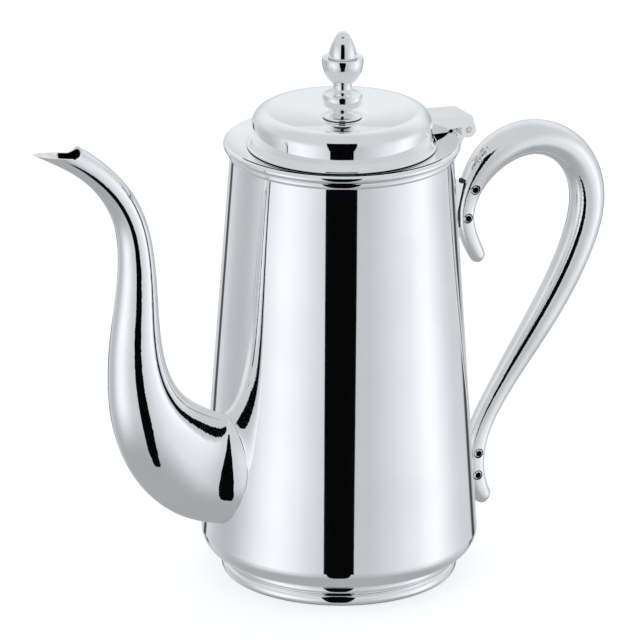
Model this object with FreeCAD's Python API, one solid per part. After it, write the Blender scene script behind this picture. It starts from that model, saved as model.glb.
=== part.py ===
import FreeCAD, Part
import math
import os

# Coffee pot in polished stainless steel: a tapered body with a hinged lid, a swan-neck spout and a
# scrolled handle that is riveted to two lugs.
# Units are millimetres. The origin is the centre of the foot's underside and +Z is up. The spout
# points along -X. The lid's hinge and the handle lie along +X, and XZ is the plane of symmetry.

V = FreeCAD.Vector
UP = V(0, 0, 1)
ACROSS = V(0, 1, 0)
SECTION_POLES = 24             # poles around every swept section
SPOUT_SECTIONS = 40            # sections along the spout
HANDLE_SECTIONS = 60           # sections along the handle
DOME_SHARES = (0.0, 0.02, 0.12, 0.35, 0.7)     # where a rounded end has its sections
DOME_FLAT = 0.06               # size of the small flat on a rounded end, as a share of the section

# ---------------------------------------------------------------- driving dimensions
sheet = 0.8                    # thickness of every drawn shell
gap = 0.15                     # clearance between parts that lift off each other

# body: a straight taper standing on a rounded shoulder
body_bottom = 7.2
body_top = 158.0
taper_radius_at_zero = 51.5
taper_per_mm = 0.0723
shoulder = 8.0

# Turned parts have outlines of (radius, z) points. A pair of points is an arc through the first
# point to the second.

# foot ring: a rolled bead with a smaller one above it, on a thin standing wall
foot_outline = [
    (39.0, 0),
    (42.4, 0),
    ((43.2, 1.8), (42.3, 3.6)),
    (41.7, 3.9),
    ((42.4, 5.4), (41.8, body_bottom)),
    (40.0, body_bottom),
    (40.0, 1.2),
    (39.0, 1.2),
]

# gallery: the beaded rim on the body's top, with a dished ledge around the mouth
gallery_bottom = 157.0
rim_radius = 42.6
rim_top = 162.4
gallery_beads = [
    ((41.1, 158.3), (40.5, 159.6)),
    (41.4, 159.8),
    ((rim_radius, 161.1), (41.6, rim_top)),
]
ledge_height = 160.6
ledge_slope = (38.4, 161.2)    # middle point of the arc from the rim down to the ledge
ledge_radius = 35.1
mouth_radius = 31.6
neck_bottom = 155.5

# lid
lid_bottom = ledge_height + gap
flange_radius = 34.2
flange_edge = 0.5              # radius of the flange's rounded edge
flange_top = 163.6             # the flange slopes from here down to its edge
lid_side_radius = 32.4
lid_ridge_radius = 27.0
lid_ridge_height = 174.1
lid_dish_height = 171.2
lid_dish_radius = 9.0          # the flat seat of the finial
lid_dish_slope = (17.0, 172.3)

# bezel: a ring inside the lid that centres it in the mouth
bezel_radius = 30.9
bezel_bottom = 156.0
bezel_shoulder = 160.4
bezel_shoulder_top = 161.2
bezel_top = 164.4

# finial: three turned pieces on one stud through the lid's top.
# These outlines are (radius, height above the piece's own bottom).
stud_radius = 2.0
stud_hole_radius = 2.05
stud_top = 192.6
stud_chamfer = 0.4
blind_end = 193.0              # end of the stud's hole in the acorn
finial_base_height = 3.2
finial_base_outline = [
    (6.6, 0),
    ((7.1, 0.45), (6.8, 0.9)),
    ((4.3, 1.7), (3.2, finial_base_height)),
]
collar_height = 9.2
collar_outline = [
    (3.2, 0),
    ((5.4, 0.7), (6.9, 1.6)),
    ((7.3, 3.6), (6.9, 5.6)),
    ((4.9, 6.1), (3.3, 7.6)),
    (3.3, collar_height),
]
acorn_height = 19.5
acorn_tip_height = 17.6        # where the rounded tip starts
acorn_tip_radius = 2.5
acorn_outline = [
    (3.4, 0),
    ((6.2, 3.5), (7.4, 7.4)),
    ((7.45, 8.7), (7.2, 9.8)),
    ((6.9, 10.1), (6.5, 10.0)),
    (4.95, 9.4),
    ((4.3, 13.8), (acorn_tip_radius, acorn_tip_height)),
]
washer_radius = 5.0
washer_thickness = 1.0
nut_across_flats = 7.0
nut_height = 3.2
stud_below_washer = 4.4

# hinge
hinge_x = 47.8
hinge_z = 161.6
knuckle_radius = 3.0
hinge_pin_radius = 1.1
running_clearance = 0.05
leaf_half_width = 6.7
leaf_top = 168.0
leaf_back = (49.2, 166.7)      # upper edge of the leaf's back face
leaf_bottom = 162.9            # over the rim
leaf_step = (40.2, 39.2)       # where the leaf's underside steps down over the ledge
leaf_low = 161.9
window_gap = 0.3               # around the middle knuckle
middle_knuckle_half_width = 2.4
knuckle_side_gap = 0.1
pin_overhang = 0.3
pin_chamfer = 0.3
# the arm under the middle knuckle, as (x, z) corners down to the body's wall and back up
bracket_arm = [
    (49.5, 159.7),
    (46.4, 153.6),
    (42.2, 149.6),
    (37.0, 149.6),
    (37.0, 157.0),
    (42.8, 158.6),
    (44.8, 162.2),
]

# strainer: round holes through the body's wall behind the spout
strainer_hole_radius = 1.8
strainer_pitch = 5.4
strainer_height = 46.0
strainer_rings = 2             # rings of holes around the middle one

# spout stations from root to tip: x, z, height of the section, width of the section
spout_stations = [
    (-36.0, 45.1, 50.0, 52.0),
    (-42.0, 45.1, 46.0, 38.0),
    (-46.5, 45.1, 43.9, 29.6),
    (-50.5, 45.5, 42.8, 24.8),
    (-55.0, 47.0, 41.8, 21.9),
    (-59.8, 49.9, 40.4, 20.9),
    (-65.6, 54.7, 38.2, 21.2),
    (-75.8, 68.4, 30.0, 22.2),
    (-80.9, 85.5, 22.4, 19.8),
    (-81.8, 98.6, 18.8, 17.6),
    (-81.3, 114.2, 15.5, 15.2),
    (-81.3, 129.2, 13.1, 13.1),
    (-82.8, 140.5, 11.8, 12.0),
    (-87.3, 151.8, 10.8, 11.0),
    (-93.3, 160.0, 9.9, 10.2),
    (-101.0, 167.2, 9.6, 9.8),
    (-109.8, 172.9, 9.4, 9.4),
    (-119.1, 178.0, 9.2, 9.0),
    (-130.0, 184.0, 9.0, 8.6),
]
spout_wall = 0.9
mouth_notch_x = -103.2
mouth_sill_height = 171.4
mouth_tip_x = -126.0
mouth_tip_height = 174.5
mouth_corner = 3.0

# handle stations from the upper tail to the lower tail: x, z, thickness, width, squareness.
# Squareness is the exponent of the section: 2 is an ellipse, and higher is flatter on its sides.
handle_stations = [
    (57.0, 108.2, 5.4, 5.0, 2.2),
    (53.2, 115.6, 6.3, 5.8, 2.4),
    (50.1, 126.4, 6.4, 6.3, 3.0),
    (52.5, 137.2, 8.2, 8.0, 2.8),
    (61.0, 148.2, 12.2, 12.2, 2.1),
    (77.0, 153.0, 12.9, 13.4, 2.0),
    (93.6, 145.3, 12.9, 13.4, 2.0),
    (100.9, 129.0, 13.0, 13.4, 2.0),
    (97.1, 108.9, 12.3, 12.9, 2.0),
    (79.6, 77.8, 10.5, 10.9, 2.0),
    (63.2, 53.4, 8.0, 8.2, 2.2),
    (56.2, 38.4, 7.8, 7.8, 2.6),
    (55.5, 25.8, 7.6, 7.6, 3.0),
    (61.0, 14.0, 6.2, 6.0, 2.2),
]
handle_end_rounding = 3.0

# rivets through handle, insulator and lug: x, z and the handle's width there
upper_rivets = [(50.1, 126.4, 6.3), (52.5, 137.2, 8.0)]
lower_rivets = [(55.5, 25.8, 7.6), (55.6, 34.4, 7.7)]
rivet_radius = 1.35
rivet_hole_radius = 1.37
rivet_head_radius = 1.9
rivet_head_height = 0.9
rivet_recess_radius = 1.15     # the hollow end of the rivet
rivet_recess_depth = 1.9
rivet_seat_depth = 0.5

# lugs: a tongue in a slot of the handle, lined with an insulating sleeve
tongue_half_width = 0.8
slot_half_width = 1.35
lug_half_width = 2.6
boss_distance = 4.9            # from the rivets' line to the boss, clear of the handle
slot_reach = 1.9               # from the rivets' line to the slot's floor
tongue_reach = 1.4
slot_beyond_rivet = 3.6
tongue_beyond_rivet = 2.8
past_the_wall = 20.0           # how far cutting tools and untrimmed plates run on


# ---------------------------------------------------------------- shape helpers
def body_radius(z):
    """Radius of the body's outer taper at height z."""
    return taper_radius_at_zero - taper_per_mm * z


def in_plane(point):
    """A (radius or x, z) pair as a point of the XZ plane."""
    return V(point[0], 0, point[1])


def outline(start, *steps):
    """A closed face in the XZ plane. A step is an end point, or (via, end) for an arc."""
    edges = []
    here = start
    for step in list(steps) + [start]:
        if isinstance(step[0], tuple):
            via, end = step
            edges.append(Part.Arc(in_plane(here), in_plane(via), in_plane(end)).toShape())
        else:
            end = step
            if in_plane(here).distanceToPoint(in_plane(end)) > 1e-6:
                edges.append(Part.makeLine(in_plane(here), in_plane(end)))
        here = end
    return Part.Face(Part.Wire(edges))


def turned(start, *steps):
    """A solid of revolution about Z from an outline of (radius, z) points."""
    return outline(start, *steps).revolve(V(0, 0, 0), UP, 360)


def slab(half_width, start, *steps):
    """An outline in the XZ plane made into a plate, centred on the plane of symmetry."""
    face = outline(start, *steps)
    face.translate(V(0, -half_width, 0))
    return face.extrude(ACROSS * (2 * half_width))


def rod(x, z, radius, half_length):
    """A round rod across the pot, centred on the plane of symmetry."""
    return Part.makeCylinder(radius, 2 * half_length, V(x, -half_length, z), ACROSS)


def quarter(centre, radius, start_angle):
    """Middle point of the quarter circle that starts at start_angle and turns left."""
    middle = math.radians(start_angle + 45)
    return (centre[0] + radius * math.cos(middle), centre[1] + radius * math.sin(middle))


def ball_top(radius, z, top):
    """An arc step from (radius, z) over the end of a round knob to the axis at height top."""
    rise = top - z
    ball = (radius ** 2 + rise ** 2) / (2 * rise)
    half = math.asin(radius / ball) / 2
    return ((ball * math.sin(half), top - ball + ball * math.cos(half)), (0, top))


def smooth_path(stations):
    """A spline through the stations' (x, z) places."""
    curve = Part.BSplineCurve()
    curve.interpolate([in_plane(station) for station in stations])
    return curve


def station_values(stations, curve, column):
    """A spline that gives one size of the stations as a function of the path's parameter."""
    sizes = Part.BSplineCurve()
    marks = [curve.parameter(in_plane(station)) for station in stations]
    points = [V(mark, station[column], 0) for mark, station in zip(marks, stations)]
    sizes.interpolate(Points=points, Parameters=marks)
    return lambda mark: sizes.value(mark).y


def section(centre, along, height, width, squareness):
    """Poles of a closed superellipse across the path: height in the XZ plane, width along Y."""
    normal = along.cross(ACROSS).normalize()
    # a cubic spline runs inside its poles by this share of the radius
    grow = 3 / (2 + math.cos(2 * math.pi / SECTION_POLES))
    points = []
    for index in range(SECTION_POLES):
        angle = 2 * math.pi * index / SECTION_POLES
        across = abs(math.sin(angle) / (width / 2)) ** squareness
        up = abs(math.cos(angle) / (height / 2)) ** squareness
        radius = grow * (across + up) ** (-1 / squareness)
        offset = normal * math.cos(angle) + ACROSS * math.sin(angle)
        points.append(centre + offset * radius)
    return points


def skin(sections):
    """A closed solid whose surface is one smooth spline over the sections, with flat ends."""
    rows = len(sections)
    surface = Part.BSplineSurface()
    around = list(range(SECTION_POLES + 1))
    along = list(range(rows - 2))
    surface.buildFromPolesMultsKnots(sections, [4] + [1] * (rows - 4) + [4], [1] * len(around),
                                     along, around, False, True, 3, 3)
    tube = surface.toShape()
    ends = [edge for edge in tube.Edges if edge.isClosed()]
    caps = [Part.Face(Part.Wire([edge])) for edge in ends]
    shell = Part.makeShell([tube] + caps)
    shell.sewShape()
    return Part.makeSolid(shell)


def swept(stations, count, inset=0.0, rounded=0.0):
    """A solid of count sections along the stations.

    inset thins it all round, and rounded is the length over which both ends are domed.
    """
    path = smooth_path(stations)
    height_at = station_values(stations, path, 2)
    width_at = station_values(stations, path, 3)
    squareness_at = station_values(stations, path, 4)
    start = path.FirstParameter
    length = path.length()
    distances = [length * step / count for step in range(count + 1)]
    if rounded:
        dome = [rounded * share for share in DOME_SHARES]
        clear = 1.2 * rounded
        middle = [distance for distance in distances if clear < distance < length - clear]
        distances = dome + middle + [length - distance for distance in reversed(dome)]
    rows = []
    for distance in distances:
        mark = path.parameterAtDistance(distance, start)
        scale = 1.0
        if rounded:
            short = 1 - min(distance, length - distance, rounded) / rounded
            scale = max(math.sqrt(1 - short ** 2), DOME_FLAT)
        height = (height_at(mark) - 2 * inset) * scale
        width = (width_at(mark) - 2 * inset) * scale
        along = path.tangent(mark)[0]
        rows.append(section(path.value(mark), along, height, width, squareness_at(mark)))
    return skin(rows)


# ---------------------------------------------------------------- body, foot and gallery
def body_outer():
    """The body's outside as a full solid, used to trim everything that is joined to it."""
    centre = (body_radius(body_bottom + shoulder) - shoulder, body_bottom + shoulder)
    return turned((0, body_bottom), (centre[0], body_bottom),
                  (quarter(centre, shoulder, -90), (centre[0] + shoulder, centre[1])),
                  (body_radius(body_top), body_top), (0, body_top))


def body_inner():
    """The hollow of the body, open through its top."""
    floor = body_bottom + sheet
    radius = shoulder - sheet
    centre = (body_radius(body_bottom + shoulder) - shoulder, body_bottom + shoulder)
    above = body_top + 1
    return turned((0, floor), (centre[0], floor),
                  (quarter(centre, radius, -90), (centre[0] + radius, centre[1])),
                  (body_radius(above) - sheet, above), (0, above))


def strainer_holes():
    """Rods that pierce the spout side of the wall in a hexagonal pattern of rings."""
    holes = []
    outside = -body_radius(0) - 1
    for row in range(-strainer_rings, strainer_rings + 1):
        for column in range(-strainer_rings, strainer_rings + 1):
            if abs(row + column) > strainer_rings:
                continue
            y = strainer_pitch * (column + row / 2)
            z = strainer_height + strainer_pitch * row * math.sqrt(3) / 2
            start = V(outside, y, z)
            holes.append(Part.makeCylinder(strainer_hole_radius, past_the_wall, start, V(1, 0, 0)))
    return holes


def pot_body():
    return body_outer().cut(body_inner()).cut(strainer_holes())


def foot_ring():
    return turned(*foot_outline)


def gallery_outline(inner_steps):
    """The gallery's outer beads and rim, closed by the steps given for its inside."""
    return turned((body_radius(gallery_bottom), gallery_bottom), *gallery_beads, *inner_steps)


def rim_gallery():
    seat_inner = body_radius(body_top) - sheet
    underside = ledge_height - sheet
    return gallery_outline([
        (ledge_slope, (ledge_radius, ledge_height)),
        (mouth_radius, ledge_height),
        (mouth_radius, neck_bottom),
        (mouth_radius + sheet, neck_bottom),
        (mouth_radius + sheet, underside),
        (seat_inner, underside),
        (seat_inner, body_top),
        (body_radius(body_top), body_top),
    ])


# ---------------------------------------------------------------- spout
def spout_mouth():
    """Everything above the sill of the open beak."""
    top = mouth_tip_height + past_the_wall
    far = mouth_tip_x - past_the_wall
    centre = (mouth_notch_x - mouth_corner, mouth_sill_height + mouth_corner)
    sill = (centre[0], mouth_sill_height)
    return slab(past_the_wall, (mouth_notch_x, top), (mouth_notch_x, centre[1]),
                (quarter(centre, mouth_corner, -90), sill), (mouth_tip_x, mouth_tip_height),
                (far, mouth_tip_height), (far, top))


def spout():
    ellipse = 2.0
    stations = [station + (ellipse,) for station in spout_stations]
    tube = swept(stations, SPOUT_SECTIONS)
    hollow = swept(stations, SPOUT_SECTIONS, inset=spout_wall)
    return tube.cut(hollow).cut(spout_mouth()).cut(body_outer())


# ---------------------------------------------------------------- lid
def lid_profile(inset, bottom):
    """The lid's outline from its flange to its dished top, moved inwards by inset."""
    side = lid_side_radius - inset
    corner = lid_side_radius - lid_ridge_radius
    centre = (lid_ridge_radius, lid_ridge_height - corner)
    radius = corner - inset
    dish = lid_dish_height - inset
    return [(side, bottom), (side, centre[1]),
            (quarter(centre, radius, 0), (centre[0], centre[1] + radius)),
            ((lid_dish_slope[0], lid_dish_slope[1] - inset), (lid_dish_radius, dish)), (0, dish)]


def lid_outer():
    """The lid's outside as a full solid."""
    edge = flange_radius - flange_edge
    return turned((0, lid_bottom), (edge, lid_bottom),
                  ((flange_radius, lid_bottom + flange_edge), (edge, lid_bottom + 2 * flange_edge)),
                  *lid_profile(0, flange_top))


def lid_shell():
    hollow = turned((0, lid_bottom - 1), (lid_side_radius - sheet, lid_bottom - 1),
                    *lid_profile(sheet, lid_bottom))
    stud_hole = Part.makeCylinder(stud_hole_radius, past_the_wall, V(0, 0, lid_bottom), UP)
    return lid_outer().cut(hollow).cut(stud_hole)


def lid_bezel():
    outer = lid_side_radius - sheet
    half_sheet = sheet / 2
    return turned((bezel_radius - sheet, bezel_bottom), (bezel_radius, bezel_bottom),
                  (bezel_radius, bezel_shoulder), (outer, bezel_shoulder_top), (outer, bezel_top),
                  (outer - sheet, bezel_top), (outer - sheet, bezel_shoulder_top + half_sheet),
                  (bezel_radius - sheet, bezel_shoulder + half_sheet))


# ---------------------------------------------------------------- finial
def lifted(step, height):
    """An outline step moved up by height."""
    if isinstance(step[0], tuple):
        return tuple(lifted(point, height) for point in step)
    return (step[0], step[1] + height)


def finial_piece(bottom, outline_steps, *closing_steps):
    """A turned piece of the finial around the stud's hole."""
    steps = [lifted(step, bottom) for step in outline_steps]
    return turned((stud_hole_radius, bottom), *steps, *closing_steps)


def finial_base():
    top = lid_dish_height + finial_base_height
    return finial_piece(lid_dish_height, finial_base_outline, (stud_hole_radius, top))


def finial_collar():
    bottom = lid_dish_height + finial_base_height
    return finial_piece(bottom, collar_outline, (stud_hole_radius, bottom + collar_height))


def finial_acorn():
    """A cast acorn: a round cup with a pointed nut in it."""
    bottom = lid_dish_height + finial_base_height + collar_height
    tip = ball_top(acorn_tip_radius, bottom + acorn_tip_height, bottom + acorn_height)
    return finial_piece(bottom, acorn_outline, tip, (0, blind_end), (stud_hole_radius, blind_end))


def lid_underside():
    return lid_dish_height - sheet


def finial_washer():
    top = lid_underside()
    bottom = top - washer_thickness
    return turned((stud_hole_radius, bottom), (washer_radius, bottom), (washer_radius, top),
                  (stud_hole_radius, top))


def finial_nut():
    """A hexagon nut under the washer."""
    bottom = lid_underside() - washer_thickness - nut_height
    corner = nut_across_flats / math.sqrt(3)
    corners = []
    for step in range(6):
        angle = math.radians(60 * step)
        corners.append(V(corner * math.cos(angle), corner * math.sin(angle), bottom))
    body = Part.Face(Part.makePolygon(corners + corners[:1])).extrude(UP * nut_height)
    return body.cut(Part.makeCylinder(stud_hole_radius, nut_height, V(0, 0, bottom), UP))


def finial_stud():
    bottom = lid_underside() - washer_thickness - stud_below_washer
    return turned((0, bottom), (stud_radius - stud_chamfer, bottom),
                  (stud_radius, bottom + stud_chamfer), (stud_radius, stud_top), (0, stud_top))


# ---------------------------------------------------------------- hinge
def lid_hinge_leaf():
    """A block on the lid's back with a knuckle at each side."""
    outer = hinge_x + knuckle_radius
    inner = hinge_x - knuckle_radius
    leaf = slab(leaf_half_width, (lid_ridge_radius, leaf_top), leaf_back, (outer, hinge_z),
                ((hinge_x, hinge_z - knuckle_radius), (inner, hinge_z)), (inner, leaf_bottom),
                (leaf_step[0], leaf_bottom), (leaf_step[1], leaf_low), (lid_ridge_radius, leaf_low))
    # the window around the middle knuckle is open at its back, so the arm passes when the lid is up
    half_window = middle_knuckle_half_width + knuckle_side_gap
    window_floor = hinge_z - past_the_wall
    window_height = past_the_wall + knuckle_radius + window_gap
    window = Part.makeBox(past_the_wall, 2 * half_window, window_height,
                          V(inner - window_gap, -half_window, window_floor))
    bore = rod(hinge_x, hinge_z, hinge_pin_radius + running_clearance, past_the_wall)
    return leaf.cut([window, bore, lid_outer()])


def body_hinge_bracket():
    """The middle knuckle and the arm that carries it from the body's wall."""
    arm = slab(middle_knuckle_half_width, *bracket_arm)
    knuckle = rod(hinge_x, hinge_z, knuckle_radius, middle_knuckle_half_width)
    bore = rod(hinge_x, hinge_z, hinge_pin_radius, past_the_wall)
    filled_gallery = gallery_outline([(0, rim_top), (0, gallery_bottom)])
    return arm.fuse(knuckle).removeSplitter().cut([bore, body_outer(), filled_gallery])


def hinge_pin():
    pin = rod(hinge_x, hinge_z, hinge_pin_radius, leaf_half_width + pin_overhang)
    ends = [edge for edge in pin.Edges if edge.Curve.TypeId == "Part::GeomCircle"]
    return pin.makeChamfer(pin_chamfer, ends)


# ---------------------------------------------------------------- handle and its fixings
def slot_span(rivets, beyond):
    """Lowest and highest z of a slot or tongue that runs past both rivets."""
    heights = [z for x, z, width in rivets]
    return min(heights) - beyond, max(heights) + beyond


def beside_rivets(rivets, offset, z):
    """The x at height z of a line that runs beside the line through both rivets."""
    (low_x, low_z, low_width), (high_x, high_z, high_width) = rivets
    return low_x + (high_x - low_x) * (z - low_z) / (high_z - low_z) + offset


def blade(rivets, half_width, ends, near, far):
    """A flat plate in the plane of the handle, between two lines beside the rivets."""
    low, high = slot_span(rivets, ends)
    corners = [(beside_rivets(rivets, near, low), low), (beside_rivets(rivets, far, low), low),
               (beside_rivets(rivets, far, high), high), (beside_rivets(rivets, near, high), high)]
    return slab(half_width, *corners)


def rivet_holes(rivets):
    return [rod(x, z, rivet_hole_radius, past_the_wall) for x, z, width in rivets]


def rivet_seats(rivets):
    """Flat seats for the rivets' heads on both sides of the handle."""
    seats = []
    for x, z, width in rivets:
        face = width / 2 - rivet_seat_depth
        for side in (1, -1):
            place = V(x, side * face, z)
            seats.append(Part.makeCylinder(rivet_head_radius, past_the_wall, place, ACROSS * side))
    return seats


def handle():
    tools = []
    for rivets in (upper_rivets, lower_rivets):
        tools.append(blade(rivets, slot_half_width, slot_beyond_rivet, -past_the_wall, slot_reach))
        tools.extend(rivet_holes(rivets))
        tools.extend(rivet_seats(rivets))
    return swept(handle_stations, HANDLE_SECTIONS, rounded=handle_end_rounding).cut(tools)


def tongue(rivets):
    return blade(rivets, tongue_half_width, tongue_beyond_rivet, -past_the_wall, tongue_reach)


def lug(rivets):
    """A boss on the body's wall with a tongue that enters the handle's slot."""
    boss = blade(rivets, lug_half_width, tongue_beyond_rivet, -past_the_wall, -boss_distance)
    plate = boss.fuse(tongue(rivets)).removeSplitter()
    return plate.cut([body_outer()] + rivet_holes(rivets))


def insulator(rivets):
    """A fibre sleeve that fills the slot around the tongue and parts the boss from the handle."""
    sleeve = blade(rivets, slot_half_width, slot_beyond_rivet, -boss_distance, slot_reach)
    return sleeve.cut([tongue(rivets)] + rivet_holes(rivets))


def rivet(x, z, width):
    """A shank with a domed head at each end, and a round recess in each head."""
    face = width / 2 - rivet_seat_depth
    shank = rod(x, z, rivet_radius, face)
    dome_radius = (rivet_head_radius ** 2 + rivet_head_height ** 2) / (2 * rivet_head_height)
    ball_offset = face + rivet_head_height - dome_radius
    heads = []
    recesses = []
    for side in (1, -1):
        ball = Part.makeSphere(dome_radius, V(x, side * ball_offset, z))
        column = Part.makeCylinder(rivet_head_radius, dome_radius, V(x, side * face, z), ACROSS * side)
        heads.append(ball.common(column))
        start = V(x, side * (face + rivet_head_height - rivet_recess_depth), z)
        recesses.append(Part.makeCylinder(rivet_recess_radius, past_the_wall, start, ACROSS * side))
    return shank.fuse(heads).removeSplitter().cut(recesses)


def handle_rivets():
    return Part.makeCompound([rivet(*place) for place in upper_rivets + lower_rivets])


# ---------------------------------------------------------------- output
NODES = {
    "pot_body": pot_body,
    "foot_ring": foot_ring,
    "rim_gallery": rim_gallery,
    "spout": spout,
    "lid_shell": lid_shell,
    "lid_bezel": lid_bezel,
    "finial_base": finial_base,
    "finial_collar": finial_collar,
    "finial_acorn": finial_acorn,
    "finial_washer": finial_washer,
    "finial_nut": finial_nut,
    "finial_stud": finial_stud,
    "lid_hinge_leaf": lid_hinge_leaf,
    "body_hinge_bracket": body_hinge_bracket,
    "hinge_pin": hinge_pin,
    "handle": handle,
    "upper_handle_lug": lambda: lug(upper_rivets),
    "lower_handle_lug": lambda: lug(lower_rivets),
    "upper_handle_insulator": lambda: insulator(upper_rivets),
    "lower_handle_insulator": lambda: insulator(lower_rivets),
    "handle_rivets": handle_rivets,
}

os.makedirs("parts", exist_ok=True)
for name, make in NODES.items():
    shape = make()
    solids = shape.Solids
    print(f"{name}: {len(solids)} solid(s), valid {shape.isValid()}, {shape.Volume:.1f} mm3")
    result = solids[0] if len(solids) == 1 else Part.makeCompound(solids)
    result.exportStep(f"parts/{name}.step")
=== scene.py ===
import math

import bpy
from mathutils import Matrix, Vector

# The coffee pot's looks: every shape comes from the CAD nodes, and this script gives them polished
# metal, a pale light tent, a pale floor and the camera.

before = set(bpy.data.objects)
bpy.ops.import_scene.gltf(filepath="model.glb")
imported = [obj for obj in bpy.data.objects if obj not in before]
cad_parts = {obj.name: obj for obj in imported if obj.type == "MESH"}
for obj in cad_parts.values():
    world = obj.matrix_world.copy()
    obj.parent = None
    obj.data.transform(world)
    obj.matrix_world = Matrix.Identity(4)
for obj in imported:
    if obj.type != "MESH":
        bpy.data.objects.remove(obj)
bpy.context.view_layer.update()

# ---------------------------------------------------------------- camera: metres, degrees
CAMERA_AZIMUTH = -27.0         # from -Y, negative towards the spout
CAMERA_ELEVATION = 19.6
CAMERA_ROLL = 0.45
CAMERA_DISTANCE = 2.1
CAMERA_TARGET = Vector((0.0, 0.0, 0.1))
CAMERA_LENS = 327.0            # millimetres
CAMERA_SENSOR = 36.0           # millimetres
CAMERA_SHIFT = (-0.0325, -0.0242)
CAMERA_CLIP = (0.05, 100.0)

AZIMUTH = math.radians(CAMERA_AZIMUTH)
TO_CAMERA = Vector((math.sin(AZIMUTH), -math.cos(AZIMUTH), 0.0))
CAMERA_RIGHT = Vector((math.cos(AZIMUTH), math.sin(AZIMUTH), 0.0))
UP = Vector((0.0, 0.0, 1.0))

# ---------------------------------------------------------------- metal: metres
BODY_COLOURS = ((0.955, 0.96, 0.965, 1.0), (0.915, 0.925, 0.935, 1.0))
CAST_COLOURS = ((0.93, 0.93, 0.93, 1.0), (0.85, 0.85, 0.85, 1.0))
FIXING_COLOURS = ((0.80, 0.80, 0.80, 1.0), (0.70, 0.70, 0.71, 1.0))
# painted shade: the near-black colour of recesses, creases and gaps between parts
RECESS_SHADE_COLOUR = (0.03, 0.031, 0.034, 1.0)
STAIN_SCALE = 38.0
STAIN_RANGE = (0.35, 0.7)      # noise levels between the light and the dark colour
WAVE_SCALE = 26.0
WAVE_HEIGHT = 0.00002          # of the faint ripples from buffing
PIT_SCALE = 900.0
PIT_STRENGTH = 0.02
PIT_DEPTH = 0.00002
HAIRLINE_SCALE = 420.0
HAIRLINE_STRETCH = (1.0, 1.0, 14.0)
HAIRLINE_SHARE = 0.6           # of the grain's roughness
# samples for finding the recesses that get painted shade
RECESS_SAMPLES = 8

# the pot's unpolished inside
SATIN_COLOUR = (0.62, 0.63, 0.64, 1.0)
SATIN_ROUGHNESS = 0.48
SATIN_METALLIC = 0.35
SATIN_EDGE = (-0.02, -0.005)   # how far a face looks inwards, for all satin and for none

# ---------------------------------------------------------------- insulating fibre: metres
FIBRE_COLOURS = ((0.010, 0.009, 0.009, 1.0), (0.032, 0.026, 0.024, 1.0))
FIBRE_SCALE = 500.0
FIBRE_RANGE = (0.3, 0.7)       # noise levels between the smoothest and the roughest fibre
FIBRE_ROUGHNESS = (0.55, 0.75)
FIBRE_BUMP = (0.3, 0.0001)     # strength, height

# ---------------------------------------------------------------- light tent
# A direction's height is its upward component, from -1 straight down to 1 straight up.
TENT_STRENGTH = 1.2            # the tent's brightness and tones are shares of this
TENT_TINT = (0.975, 1.0, 1.04, 1.0)
# brightness all round: degrees from the camera's direction, positive to its right, and level
TENT_LEVELS = (
    (-180, 0.68), (-165, 0.64), (-140, 0.68), (-126, 0.56), (-100, 0.54), (-80, 0.78),
    (-60, 1.0), (-46, 0.98), (-32, 0.85), (-18, 0.70), (0, 0.62), (18, 0.57),
    (32, 0.62), (50, 0.75), (70, 0.90), (86, 1.04), (98, 0.96), (110, 0.80),
    (122, 0.69), (142, 0.64), (157, 0.50), (169, 0.66), (180, 0.68),
)
CEILING_START = (-0.05, 0.5)   # heights where the walls end and where the ceiling is complete
CEILING_TONE = (0.66, 0.67, 0.68)
BACK_TONE = (0.88, 0.89, 0.90)     # of the ceiling over the back wall
BACK_RANGE = (-0.95, -0.1)     # cosines to the camera's direction: all back wall, and none
BELOW_TONE = (0.40, 0.41, 0.42)
BELOW_RANGE = (-0.80, -0.38)   # heights: all floor level, and none

# a dark seam in the tent at each side of the back wall
SEAM_ANGLE = 151.0             # degrees from the camera's direction
SEAM_WIDTH = (2.5, 6.5)        # degrees from the seam's middle: full depth, and none
SEAM_TOP = (-0.20, -0.12)      # heights: full depth, and none
SEAM_BOTTOM = (-0.50, -0.40)   # heights: none, and full depth
SEAM_DEPTH = 0.88

# the dark opening that the camera looks through: metres
OPENING_DISTANCE = 0.26        # from the pot's axis
OPENING_OUTLINE = (            # height, half width
    (-0.20, 0.020),
    (-0.18, 0.033),
    (-0.14, 0.041),
    (0.0, 0.0545),
    (0.36, 0.097),
)
OPENING_COLOUR = (0.002, 0.002, 0.0025, 1.0)

# ---------------------------------------------------------------- floor and backdrop
FLOOR_HALF_SIZE = 12.0         # metres
FLOOR_COLOUR = (0.8, 0.8, 0.8, 1.0)
FLOOR_GLOW = 0.52              # keeps the floor as pale as the backdrop
WHITE = (1.0, 1.0, 1.0, 1.0)


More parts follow.
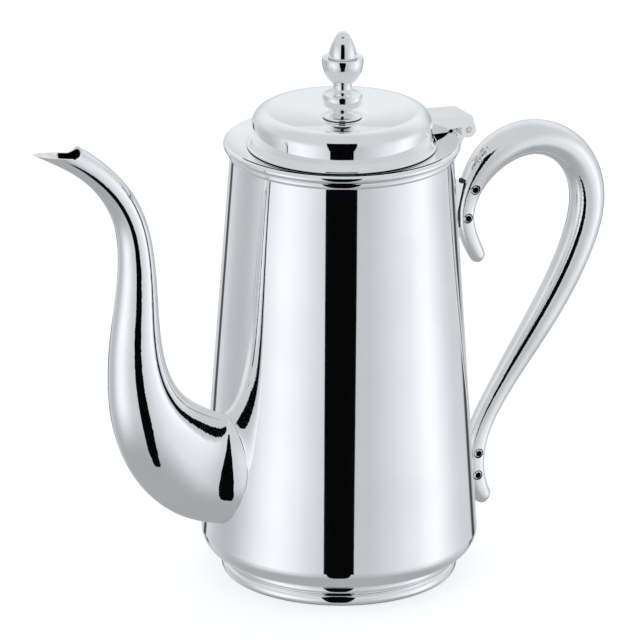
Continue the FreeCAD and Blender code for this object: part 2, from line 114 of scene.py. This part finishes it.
# ---------------------------------------------------------------- node helpers
class Nodes:
    """Short calls for building one node tree."""

    # the Mix node's first input and its output, by kind of data
    MIX_INPUT = {"FLOAT": 2, "RGBA": 6}
    MIX_OUTPUT = {"FLOAT": 0, "RGBA": 2}

    def __init__(self, tree):
        self.tree = tree
        tree.nodes.clear()

    def add(self, kind, **settings):
        node = self.tree.nodes.new(kind)
        for name, value in settings.items():
            setattr(node, name, value)
        return node

    def link(self, source, target):
        self.tree.links.new(source, target)

    def feed(self, socket, value):
        """Links a socket to another one, or sets it to a plain value."""
        if isinstance(value, bpy.types.NodeSocket):
            self.link(value, socket)
        else:
            socket.default_value = value

    def end(self, shader, kind="Material"):
        """Ends a tree of the kind Material or World with a shader's output."""
        self.link(shader.outputs[0], self.add("ShaderNodeOutput" + kind).inputs["Surface"])

    def math(self, operation, first, second=0.0, third=0.0):
        node = self.add("ShaderNodeMath", operation=operation)
        for socket, value in zip(node.inputs, (first, second, third)):
            self.feed(socket, value)
        return node.outputs[0]

    def dot(self, first, second):
        node = self.add("ShaderNodeVectorMath", operation="DOT_PRODUCT")
        self.feed(node.inputs[0], first)
        self.feed(node.inputs[1], second)
        return node.outputs["Value"]

    def noise(self, vector, scale, detail=2.0):
        node = self.add("ShaderNodeTexNoise")
        self.link(vector, node.inputs["Vector"])
        node.inputs["Scale"].default_value = scale
        node.inputs["Detail"].default_value = detail
        return node.outputs["Fac"]

    def stretch(self, vector, factors):
        node = self.add("ShaderNodeMapping")
        self.link(vector, node.inputs["Vector"])
        node.inputs["Scale"].default_value = factors
        return node.outputs["Vector"]

    def remap(self, value, source, target):
        """A smooth step from the (low, high) range source to the range target."""
        node = self.add("ShaderNodeMapRange", interpolation_type="SMOOTHSTEP")
        for socket, setting in zip(node.inputs, (value, *source, *target)):
            self.feed(socket, setting)
        return node.outputs["Result"]

    def ramp(self, value, stops):
        """A smooth curve through (position, brightness) stops."""
        node = self.add("ShaderNodeValToRGB")
        self.link(value, node.inputs["Fac"])
        ramp = node.color_ramp
        ramp.interpolation = "CARDINAL"
        while len(ramp.elements) > 1:
            ramp.elements.remove(ramp.elements[-1])
        for index, (position, level) in enumerate(stops):
            element = ramp.elements[0] if index == 0 else ramp.elements.new(position)
            element.position = position
            element.color = (level, level, level, 1.0)
        return node.outputs["Color"]

    def mix(self, share, first, second, kind="RGBA", blend="MIX"):
        node = self.add("ShaderNodeMix", data_type=kind, blend_type=blend)
        index = self.MIX_INPUT[kind]
        self.feed(node.inputs[0], share)
        self.feed(node.inputs[index], first)
        self.feed(node.inputs[index + 1], second)
        return node.outputs[self.MIX_OUTPUT[kind]]

    def bump(self, height, strength, distance, normal=None):
        node = self.add("ShaderNodeBump")
        node.inputs["Strength"].default_value = strength
        node.inputs["Distance"].default_value = distance
        self.link(height, node.inputs["Height"])
        if normal is not None:
            self.link(normal, node.inputs["Normal"])
        return node.outputs["Normal"]

    def background(self, colour, strength=1.0):
        node = self.add("ShaderNodeBackground")
        self.feed(node.inputs["Color"], colour)
        self.feed(node.inputs["Strength"], strength)
        return node


def new_material(name):
    material = bpy.data.materials.new(name)
    material.use_nodes = True
    return material, Nodes(material.node_tree)


# ---------------------------------------------------------------- materials
def stained_and_shaded_colour(nodes, stains, colours, recess_reach, recess):
    """Cloudy metal with painted shade: it turns near-black in recesses, creases and gaps between
    parts.

    recess_reach is how far away a recess's walls may be, and recess is how open a place has to be for
    full painted shade and for none.
    """
    colour = nodes.mix(nodes.remap(stains, STAIN_RANGE, (0.0, 1.0)), *colours)
    # painted shade: ambient occlusion finds the recesses, and the colour turns near-black there
    crevice = nodes.add("ShaderNodeAmbientOcclusion", samples=RECESS_SAMPLES)
    crevice.inputs["Distance"].default_value = recess_reach
    nodes.link(nodes.add("ShaderNodeNewGeometry").outputs["True Normal"], crevice.inputs["Normal"])
    open_share = nodes.remap(crevice.outputs["AO"], recess, (0.0, 1.0))
    return nodes.mix(open_share, RECESS_SHADE_COLOUR, colour)


def inward_share(nodes, texture):
    """1 on faces that look at the body's axis and 0 on the others."""
    from_axis = nodes.stretch(texture.outputs["Object"], (1.0, 1.0, 0.0))
    facing = nodes.dot(from_axis, texture.outputs["Normal"])
    return nodes.remap(facing, SATIN_EDGE, (1.0, 0.0))


def mirror_metal(name, colours, base_roughness, grain, recess_reach=0.001, recess=(0.2, 0.6),
                 satin_inside=False):
    """Polished metal with faint ripples from buffing, fine pits, hairline scratches and painted shade
    in recesses.

    grain is how much roughness the stains add. satin_inside leaves the faces that look at the body's
    axis unpolished.
    """
    material, nodes = new_material(name)
    texture = nodes.add("ShaderNodeTexCoord")
    place = texture.outputs["Object"]
    stains = nodes.noise(place, STAIN_SCALE, detail=3.0)
    hairlines = nodes.noise(nodes.stretch(place, HAIRLINE_STRETCH), HAIRLINE_SCALE)
    colour = stained_and_shaded_colour(nodes, stains, colours, recess_reach, recess)
    roughness = nodes.math("ADD", base_roughness, nodes.math("MULTIPLY", stains, grain))
    scratches = nodes.math("MULTIPLY", hairlines, grain * HAIRLINE_SHARE)
    roughness = nodes.math("ADD", roughness, scratches)
    metallic = 1.0
    if satin_inside:
        inside = inward_share(nodes, texture)
        colour = nodes.mix(inside, colour, SATIN_COLOUR)
        roughness = nodes.mix(inside, roughness, SATIN_ROUGHNESS, kind="FLOAT")
        metallic = nodes.mix(inside, metallic, SATIN_METALLIC, kind="FLOAT")
    normal = nodes.bump(nodes.noise(place, WAVE_SCALE, detail=1.0), 1.0, WAVE_HEIGHT)
    normal = nodes.bump(nodes.noise(place, PIT_SCALE), PIT_STRENGTH, PIT_DEPTH, normal)
    shader = nodes.add("ShaderNodeBsdfPrincipled")
    nodes.link(colour, shader.inputs["Base Color"])
    nodes.feed(shader.inputs["Metallic"], metallic)
    nodes.link(roughness, shader.inputs["Roughness"])
    nodes.link(normal, shader.inputs["Normal"])
    nodes.end(shader)
    return material


def fibre():
    """Vulcanised fibre: a matt brown-black sheet with a faint mottle."""
    material, nodes = new_material("insulator_fibre")
    place = nodes.add("ShaderNodeTexCoord").outputs["Object"]
    mottle = nodes.noise(place, FIBRE_SCALE, detail=4.0)
    shader = nodes.add("ShaderNodeBsdfPrincipled")
    nodes.link(nodes.mix(mottle, *FIBRE_COLOURS), shader.inputs["Base Color"])
    nodes.link(nodes.remap(mottle, FIBRE_RANGE, FIBRE_ROUGHNESS), shader.inputs["Roughness"])
    nodes.link(nodes.bump(mottle, *FIBRE_BUMP), shader.inputs["Normal"])
    nodes.end(shader)
    return material


def dress_nodes():
    """Gives every CAD node the material of its slot, or its own where it has one."""
    by_slot = {
        "body_steel": mirror_metal("body_steel", BODY_COLOURS, base_roughness=0.015, grain=0.03),
        # recess_reach and recess set how far the painted shade reaches into recesses
        "cast_steel": mirror_metal("cast_steel", CAST_COLOURS, base_roughness=0.03, grain=0.05,
                                   recess_reach=0.0016),
        "fixing_steel": mirror_metal("fixing_steel", FIXING_COLOURS, base_roughness=0.12,
                                     grain=0.12),
        "insulator_fibre": fibre(),
    }
    by_node = {
        "pot_body": mirror_metal("pot_steel", BODY_COLOURS, base_roughness=0.015, grain=0.03,
                                 satin_inside=True),
        # the rivet heads' recesses get deep painted shade, so that they turn near-black
        "handle_rivets": mirror_metal("rivet_steel", CAST_COLOURS, base_roughness=0.05, grain=0.05,
                                      recess_reach=0.004, recess=(0.55, 0.92)),
    }
    for name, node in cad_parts.items():
        for slot in node.material_slots:
            slot_name = slot.material.name.split(".")[0]
            slot.material = by_node.get(name, by_slot[slot_name])


# ---------------------------------------------------------------- light
def tent_tone(tone):
    """A tone of the tent as a colour that TENT_STRENGTH brings back to its level."""
    return tuple(level / TENT_STRENGTH for level in tone) + (1.0,)


def tent_light(nodes, ahead, turn, height):
    """The tent's colour by direction: bright at two sides, then ceiling, back wall and floor level."""
    full_turn = 2 * math.pi
    share = nodes.math("MULTIPLY_ADD", turn, 1 / full_turn, 0.5)
    stops = [((angle + 180) / 360, level / TENT_STRENGTH) for angle, level in TENT_LEVELS]
    walls = nodes.mix(1.0, nodes.ramp(share, stops), TENT_TINT, blend="MULTIPLY")
    back_wall = nodes.remap(ahead, BACK_RANGE, (1.0, 0.0))
    ceiling = nodes.mix(back_wall, tent_tone(CEILING_TONE), tent_tone(BACK_TONE))
    light = nodes.mix(nodes.remap(height, CEILING_START, (0.0, 1.0)), walls, ceiling)
    below = nodes.remap(height, BELOW_RANGE, (1.0, 0.0))
    return nodes.mix(below, light, tent_tone(BELOW_TONE))


def seam_dimming(nodes, turn, height):
    """How much light the dark seams leave in each direction, from 1 down to 1 - SEAM_DEPTH."""
    from_seam = nodes.math("SUBTRACT", nodes.math("ABSOLUTE", turn), math.radians(SEAM_ANGLE))
    width = [math.radians(angle) for angle in SEAM_WIDTH]
    gap = nodes.remap(nodes.math("ABSOLUTE", from_seam), width, (1.0, 0.0))
    gap = nodes.math("MULTIPLY", gap, nodes.remap(height, SEAM_TOP, (1.0, 0.0)))
    gap = nodes.math("MULTIPLY", gap, nodes.remap(height, SEAM_BOTTOM, (0.0, 1.0)))
    return nodes.math("SUBTRACT", 1.0, nodes.math("MULTIPLY", gap, SEAM_DEPTH))


def studio_world():
    """A pale light tent that lights the pot and is reflected in it, behind a white backdrop."""
    world = bpy.data.worlds.new("studio")
    bpy.context.scene.world = world
    world.use_nodes = True
    world.cycles.sampling_method = "NONE"
    nodes = Nodes(world.node_tree)
    direction = nodes.add("ShaderNodeTexCoord").outputs["Generated"]
    ahead = nodes.dot(direction, TO_CAMERA)
    turn = nodes.math("ARCTAN2", nodes.dot(direction, CAMERA_RIGHT), ahead)
    height = nodes.dot(direction, UP)
    light = tent_light(nodes, ahead, turn, height)
    strength = nodes.math("MULTIPLY", seam_dimming(nodes, turn, height), TENT_STRENGTH)
    tent = nodes.background(light, strength)
    backdrop = nodes.background(WHITE)
    chooser = nodes.add("ShaderNodeMixShader")
    nodes.link(nodes.add("ShaderNodeLightPath").outputs["Is Camera Ray"], chooser.inputs[0])
    nodes.link(tent.outputs[0], chooser.inputs[1])
    nodes.link(backdrop.outputs[0], chooser.inputs[2])
    nodes.end(chooser, "World")


def mesh_object(name, vertices, faces):
    mesh = bpy.data.meshes.new(name)
    mesh.from_pydata(vertices, [], faces)
    mesh.update()
    piece = bpy.data.objects.new(name, mesh)
    bpy.context.scene.collection.objects.link(piece)
    return piece


def tent_opening():
    """The dark opening that the camera looks through: seen only in reflections."""
    left = [(height, -half_width) for height, half_width in OPENING_OUTLINE]
    right = [(height, half_width) for height, half_width in reversed(OPENING_OUTLINE)]
    middle = TO_CAMERA * OPENING_DISTANCE
    corners = [middle + CAMERA_RIGHT * side + UP * height for height, side in left + right]
    card = mesh_object("tent_opening", corners, [tuple(range(len(corners)))])
    material, nodes = new_material("dark_room")
    dark = nodes.add("ShaderNodeEmission")
    dark.inputs["Color"].default_value = OPENING_COLOUR
    nodes.end(dark)
    card.data.materials.append(material)
    card.visible_camera = False
    card.visible_diffuse = False
    card.visible_transmission = False
    card.visible_shadow = False


def pale_floor():
    """A matt floor with a little light of its own, which the pot doesn't reflect."""
    signs = ((-1, -1), (1, -1), (1, 1), (-1, 1))
    corners = [(x * FLOOR_HALF_SIZE, y * FLOOR_HALF_SIZE, 0) for x, y in signs]
    floor = mesh_object("floor", corners, [(0, 1, 2, 3)])
    material, nodes = new_material("pale_floor")
    matt = nodes.add("ShaderNodeBsdfDiffuse")
    matt.inputs["Color"].default_value = FLOOR_COLOUR
    glow = nodes.add("ShaderNodeEmission")
    glow.inputs["Strength"].default_value = FLOOR_GLOW
    both = nodes.add("ShaderNodeAddShader")
    nodes.link(matt.outputs[0], both.inputs[0])
    nodes.link(glow.outputs[0], both.inputs[1])
    nodes.end(both)
    floor.data.materials.append(material)
    floor.visible_glossy = False


def studio_camera():
    """A long lens on the pot from the side and above, with a slight roll."""
    camera = bpy.data.objects.new("camera", bpy.data.cameras.new("camera"))
    bpy.context.scene.collection.objects.link(camera)
    bpy.context.scene.camera = camera
    elevation = math.radians(CAMERA_ELEVATION)
    back = TO_CAMERA * math.cos(elevation) + UP * math.sin(elevation)
    camera.location = CAMERA_TARGET + back * CAMERA_DISTANCE
    turn = (-back).to_track_quat("-Z", "Y").to_matrix().to_4x4()
    roll = Matrix.Rotation(math.radians(CAMERA_ROLL), 4, "Z")
    camera.rotation_mode = "QUATERNION"
    camera.rotation_quaternion = (turn @ roll).to_quaternion()
    camera.data.lens = CAMERA_LENS
    camera.data.sensor_width = CAMERA_SENSOR
    camera.data.shift_x, camera.data.shift_y = CAMERA_SHIFT
    camera.data.clip_start, camera.data.clip_end = CAMERA_CLIP


dress_nodes()
studio_world()
tent_opening()
pale_floor()
studio_camera()
bpy.context.scene.view_settings.view_transform = "Standard"
